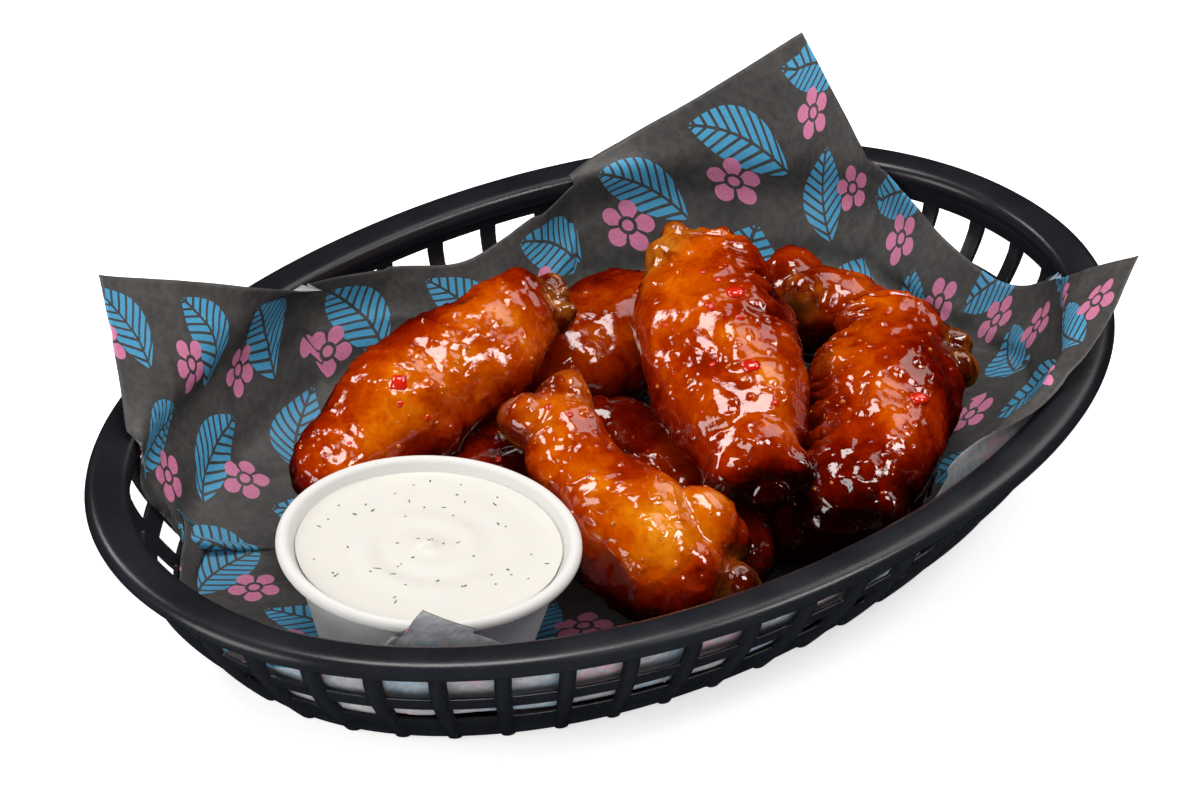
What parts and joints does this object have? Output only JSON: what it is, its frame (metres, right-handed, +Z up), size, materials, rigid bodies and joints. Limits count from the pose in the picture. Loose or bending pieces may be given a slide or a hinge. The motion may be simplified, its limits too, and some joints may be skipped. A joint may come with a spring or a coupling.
{
  "type": "basket of glazed chicken wings",
  "caption": "Glazed chicken wings piled in a paper-lined oval lattice basket, with a small round pot of herb dip at one end.",
  "frame": {"origin": "middle of the flat underside of the basket", "axes": "+X along the basket's length, away from the pot; +Y across the basket, towards its back; +Z up"},
  "size_m": [0.2668, 0.178, 0.0652],
  "materials": {
    "basket_plastic": "black moulded polypropylene, satin",
    "liner_paper": "matt black greaseproof paper with blue and pink print",
    "pot_card": "white embossed paper",
    "dip": "creamy off-white dip, soft sheen",
    "wing_glaze": "roasted skin under a wet orange-brown glaze"
  },
  "bodies": {
    "root": {"basket": "basket_plastic", "liner": "liner_paper", "pot": "pot_card", "dip": "dip", "wing_left": "wing_glaze", "wing_top": "wing_glaze", "wing_right": "wing_glaze", "drumette_front": "wing_glaze", "wing_back": "wing_glaze", "drumette_back": "wing_glaze", "wing_far_right": "wing_glaze", "wing_middle": "wing_glaze", "wing_front": "wing_glaze", "wing_low_left": "wing_glaze"}
  },
  "joints": []
}
